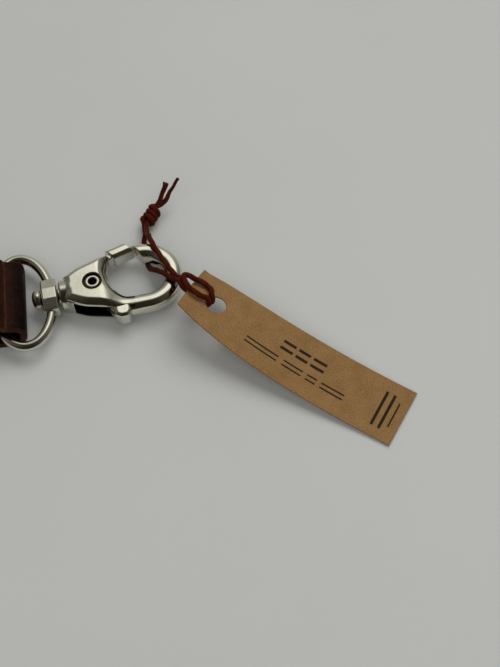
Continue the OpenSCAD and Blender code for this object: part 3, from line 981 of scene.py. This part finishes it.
HITCH_ORIGIN = np.array([33.5, -7.2, 8.3])
HITCH_AXES = np.array([[0.57, -0.817, -0.09], [-0.714, -0.546, 0.437], [0.406, 0.185, 0.895]])
HITCH = [
    (-2.6, 0.1, 0.2), (-1.3, 0, -0.6), (0.2, -0.2, -1.15), (3, -0.5, -1.2),
    (5, -0.6, -1.2), (6.35, -0.6, -0.25), (5.6, -0.8, 1.15), (4.5, -1.9, 1.2),
    (2.9, -2.3, 1.2), (1, -1.9, 1.25), (-0.6, -0.9, 1.5), (-1.9, 0.1, 1.85),
    (-2.3, 0.9, 1.9), (-1.5, 1.8, 1.7), (0, 2.3, 1.4), (2, 2.4, 1.25),
    (3.9, 2.1, 1.2), (5.5, 1.2, 1.15), (6.5, 0.75, -0.1), (5.4, 0.8, -1.3),
    (3, 0.9, -1.2), (0.2, 1.2, -1.15), (-1.3, 1.5, -0.6), (-2.6, 1.55, 0.2),
]
OVER = [
    (26.6, 17, 2.9), (26.2, 14.6, 4), (26.2, 12.4, 5.4), (26.4, 10.3, 6.9), (26.7, 8, 7.4),
    (27.4, 5.4, 7.35), (28.4, 2.4, 7.4), (29.5, -0.6, 7.4), (30.6, -3.2, 7.6),
]
UNDER = [
    (29.6, -3.6, 7.4), (28.6, -2.3, 7.3), (27.5, -0.5, 6.4), (26.4, 1.3, 5), (25.5, 3.2, 3), (25, 4.9, 1.2),
    (24.8, 6.8, 0.7), (24.8, 9, 0.7), (24.9, 11.4, 0.7), (25.2, 13.8, 0.9), (25.9, 16.2, 1.5),
]
FIRST_TAIL = [(33.5, 24.6, 8.6), (32, 23.2, 6.2), (30.4, 21.7, 4.2), (28.8, 20.4, 3.2), (27.4, 18.8, 2.7)]
LAST_TAIL = [(31.9, 22.7, 3.2), (34.4, 24.6, 5.2), (36.9, 26.1, 7.8)]
WRAP_FROM = np.array([26.8, 18.3, 2.4])
WRAP_TO = np.array([29.5, 21.2, 2.9])
WRAP_R = 1.3
WRAP_TURNS = 3.0
WRAP_START = 0.8 * math.pi
CORD_STEP = 0.22
CORD_SIDES = 20
PLIES = 3
LAY = 3.4
PLY_RELIEF = 0.11


def knot_wraps():
    """The turns of the knot, round the first strand."""
    along = unit(WRAP_TO - WRAP_FROM)
    side = unit(np.cross(along, [0, 0, 1]))
    up = np.cross(side, along)
    points = []
    for i in range(int(WRAP_TURNS * 10) + 1):
        part = i / (WRAP_TURNS * 10)
        angle = 2 * math.pi * WRAP_TURNS * part + WRAP_START
        swing = math.cos(angle) * side + math.sin(angle) * up
        points.append(WRAP_FROM + along * np.linalg.norm(WRAP_TO - WRAP_FROM) * part + WRAP_R * swing)
    return points


def cord_route():
    hitch = [HITCH_ORIGIN + np.array(p) @ HITCH_AXES for p in HITCH]
    wraps = knot_wraps()
    for point in wraps:
        point[2] = max(point[2], CORD_R + 0.05)
    return FIRST_TAIL + OVER + hitch + UNDER + wraps + LAST_TAIL


def cord_radius(count):
    """The cord's radius: a blunt, pressed first end, and a last end whose plies have thinned."""
    from_start = np.arange(count) * CORD_STEP
    from_end = from_start[::-1]
    first = 1 + 0.16 * np.exp(-((from_start / 0.9) ** 2)) - 0.12 * np.exp(-(((from_start - 3.5) / 2.5) ** 2))
    last = 1 - 0.36 * smoothstep((8 - from_end) / 6)
    return CORD_R * first * last


def make_cord(material):
    route = even(catmull(cord_route(), 10), CORD_STEP)
    sides = CORD_SIDES

    def relief(angles, run):
        return 1 + PLY_RELIEF * np.cos(PLIES * (angles - 2 * np.pi * run / LAY / PLIES))

    rings, run = tube_rings(route, cord_radius(len(route)), sides, relief)
    points = rings.reshape(-1, 3)
    faces = ring_faces(len(route), sides)
    faces += [tuple(range(sides))[::-1], tuple(range((len(route) - 1) * sides, len(route) * sides))]
    places = [(run[i], 2 * math.pi * CORD_R * k / sides) for i in range(len(route)) for k in range(sides)]
    cord = make_mesh("tag_cord", to_row(points, 0), faces, "tag", material, uv=places)
    cord.data.flip_normals()
    cord.data.set_sharp_from_angle(angle=math.radians(60))
    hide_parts("cord_loop", "cord_knot", "cord_tails")


# ---------------------------------------------------------------------------------------------------------
# Floor and light
# ---------------------------------------------------------------------------------------------------------

FLOOR_REACH_M = 8
ROOM_DARK = (0.020, 0.0175, 0.011)
ROOM_LIGHT = (1.0, 0.985, 0.92)
ROOM_STRENGTH = 1.1
BACKDROP = (0.42, 0.42, 0.41)
# direction, sharpness, strength
ROOM_LOBES = [
    ((0.12, 0.50, 0.85), 30, 1.45),
    ((0.20, 0.88, 0.42), 5, 0.26),
    ((0.0, 1.0, 0.15), 3, 0.12),
    ((0.9, 0.1, 0.3), 3, 0.10),
    ((-0.8, 0.2, 0.4), 4, 0.10),
]


def make_floor():
    mesh = bpy.data.meshes.new("floor")
    reach = FLOOR_REACH_M
    corners = [(-reach, -reach, 0), (reach, -reach, 0), (reach, reach, 0), (-reach, reach, 0)]
    mesh.from_pydata(corners, [], [(0, 1, 2, 3)])
    mesh.materials.append(floor_paint())
    floor = bpy.data.objects.new("floor", mesh)
    floor.location.z = min(0.0, CAD_BOX[0][2]) - 0.00002
    bpy.context.collection.objects.link(floor)


def make_world():
    """A soft room, fixed in the row frame: bright overhead on the far side, and dark behind the camera."""
    world = bpy.data.worlds.new("room")
    world.use_nodes = True
    nodes, links = world.node_tree.nodes, world.node_tree.links
    place = nodes.new("ShaderNodeTexCoord").outputs["Generated"]

    def lobe(direction, sharpness, strength):
        dot = nodes.new("ShaderNodeVectorMath")
        dot.operation = "DOT_PRODUCT"
        links.new(place, dot.inputs[0])
        dot.inputs[1].default_value = Vector(direction).normalized()
        lifted = nodes.new("ShaderNodeMath")
        lifted.operation = "MAXIMUM"
        links.new(dot.outputs["Value"], lifted.inputs[0])
        lifted.inputs[1].default_value = 0
        power = nodes.new("ShaderNodeMath")
        power.operation = "POWER"
        links.new(lifted.outputs["Value"], power.inputs[0])
        power.inputs[1].default_value = sharpness
        scaled = nodes.new("ShaderNodeMath")
        scaled.operation = "MULTIPLY"
        links.new(power.outputs["Value"], scaled.inputs[0])
        scaled.inputs[1].default_value = strength
        return scaled.outputs["Value"]

    total = None
    for direction, sharpness, strength in ROOM_LOBES:
        value = lobe(direction, sharpness, strength)
        if total is not None:
            add = nodes.new("ShaderNodeMath")
            add.operation = "ADD"
            links.new(total, add.inputs[0])
            links.new(value, add.inputs[1])
            value = add.outputs["Value"]
        total = value
    ramp = nodes.new("ShaderNodeValToRGB")
    for element, (at, colour) in zip(ramp.color_ramp.elements, ((0.0, ROOM_DARK), (1.0, ROOM_LIGHT))):
        element.position = at
        element.color = (*colour, 1)
    links.new(total, ramp.inputs["Fac"])
    links.new(ramp.outputs["Color"], nodes["Background"].inputs["Color"])
    nodes["Background"].inputs["Strength"].default_value = ROOM_STRENGTH
    backdrop = nodes.new("ShaderNodeBackground")
    backdrop.inputs["Color"].default_value = (*BACKDROP, 1)
    seen = nodes.new("ShaderNodeLightPath")
    either = nodes.new("ShaderNodeMixShader")
    links.new(seen.outputs["Is Camera Ray"], either.inputs["Fac"])
    links.new(nodes["Background"].outputs["Background"], either.inputs[1])
    links.new(backdrop.outputs["Background"], either.inputs[2])
    links.new(either.outputs["Shader"], nodes["World Output"].inputs["Surface"])
    bpy.context.scene.world = world


def area_light(name, place, target, size, watts, colour):
    """A lamp that lights the room but isn't seen in the metal, which mirrors only the world."""
    data = bpy.data.lights.new(name, "AREA")
    data.shape = "RECTANGLE"
    data.size, data.size_y = size
    data.energy = watts
    data.color = colour
    light = bpy.data.objects.new(name, data)
    light.location = place
    light.visible_glossy = False
    light.rotation_euler = (Vector(target) - Vector(place)).to_track_quat("-Z", "Y").to_euler()
    bpy.context.collection.objects.link(light)


def make_lights():
    middle = (0.09, -0.01, 0)
    daylight = (0.98, 0.99, 1.0)
    area_light("window", (0.5, 0.35, 0.8), middle, (0.9, 0.7), 4.4, daylight)
    area_light("ceiling", (-0.1, -0.6, 0.8), middle, (1.4, 1.0), 4.2, daylight)


def main():
    make_camera()
    make_cord(waxed_cord())
    metal = plated_metal("plated_metal")
    rivet_metal = plated_metal("rivet_metal", (0.74, 0.71, 0.625), 0.17, 0.3)
    make_strap()
    make_caps(rivet_metal)
    make_pin(metal)
    make_gate_rivet(rivet_metal)
    low, high = (1.6, -9.6, -4.3), (33, 11.3, 4.3)
    hook = casting("hook_cast", hook_field, low, high, "hook", metal, hook_inner_shade)
    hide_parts("hook_body")
    low, high = (6.9, -11, -2.8), (25.4, 12.6, 2.8)
    lever = casting("lever_cast", lever_field, low, high, "gate", metal, lever_inner_shade)
    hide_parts("gate_lever")
    low, high = (-15.4, -14.2, -3), (2.4, 14.8, 3)
    eye = casting("eye_cast", eye_field, low, high, "eye", metal)
    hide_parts("swivel_eye")
    make_tag(kraft_card(PRINT_BARS))
    spring = plated_metal("spring_steel", (0.5, 0.49, 0.46), 0.3, 0.1)
    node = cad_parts["gate_spring"]
    node.data.materials.clear()
    node.data.materials.append(spring)
    make_floor()
    make_world()
    make_lights()
    bpy.context.scene.view_settings.view_transform = "Standard"


main()
